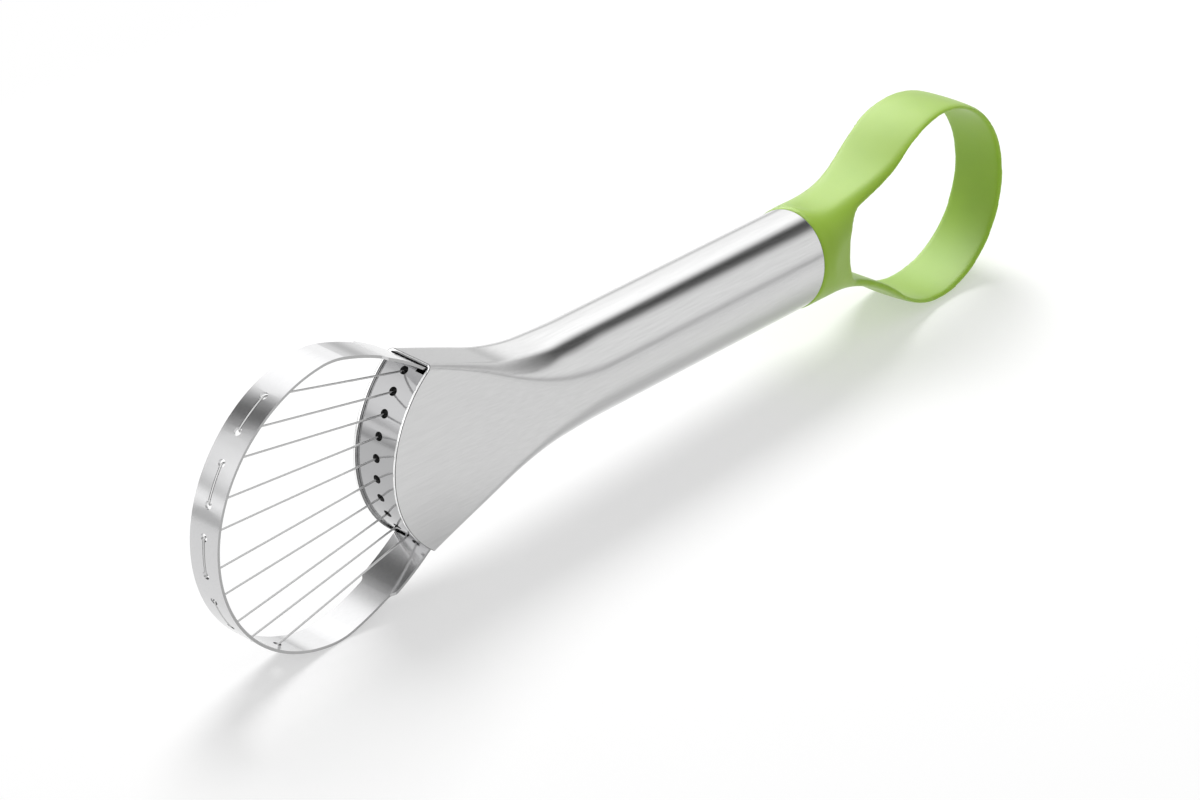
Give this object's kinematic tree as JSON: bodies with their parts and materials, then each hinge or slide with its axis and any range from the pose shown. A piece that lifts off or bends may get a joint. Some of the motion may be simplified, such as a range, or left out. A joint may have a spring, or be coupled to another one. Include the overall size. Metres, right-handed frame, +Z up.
{
  "type": "avocado slicer",
  "caption": "Two-ended hand tool: a steel band strung with straight cutting wires, a hollow flared handle, and a moulded ring that lifts out the stone.",
  "frame": {"origin": "middle of the box's bottom face, on the surface that the slicer stands on", "axes": "+X runs along the handle from the cutting head to the pitter ring; +Z is up, across the loops' width; Y is across the thickness"},
  "size_m": [0.2712, 0.0256, 0.0726],
  "materials": {
    "handle_steel": "stainless, brushed along the handle",
    "band_steel": "stainless, satin polished",
    "plate_steel": "stainless, mirror polished",
    "wire_steel": "stainless wire, bright drawn",
    "crimp_steel": "stainless, darkened",
    "rivet_steel": "stainless, satin",
    "green_plastic": "moulded, satin, light green"
  },
  "bodies": {
    "root": {"handle_tube": "handle_steel", "cutting_band": "band_steel", "saddle_plate": "plate_steel", "cutting_wire_1": "wire_steel", "cutting_wire_2": "wire_steel", "cutting_wire_3": "wire_steel", "cutting_wire_4": "wire_steel", "cutting_wire_5": "wire_steel", "crimp_sleeve_01": "crimp_steel", "crimp_sleeve_02": "crimp_steel", "crimp_sleeve_03": "crimp_steel", "crimp_sleeve_04": "crimp_steel", "crimp_sleeve_05": "crimp_steel", "crimp_sleeve_06": "crimp_steel", "crimp_sleeve_07": "crimp_steel", "crimp_sleeve_08": "crimp_steel", "crimp_sleeve_09": "crimp_steel", "crimp_sleeve_10": "crimp_steel", "tab_rivet_top": "rivet_steel", "tab_rivet_bottom": "rivet_steel", "pitter_loop": "green_plastic"}
  },
  "joints": []
}
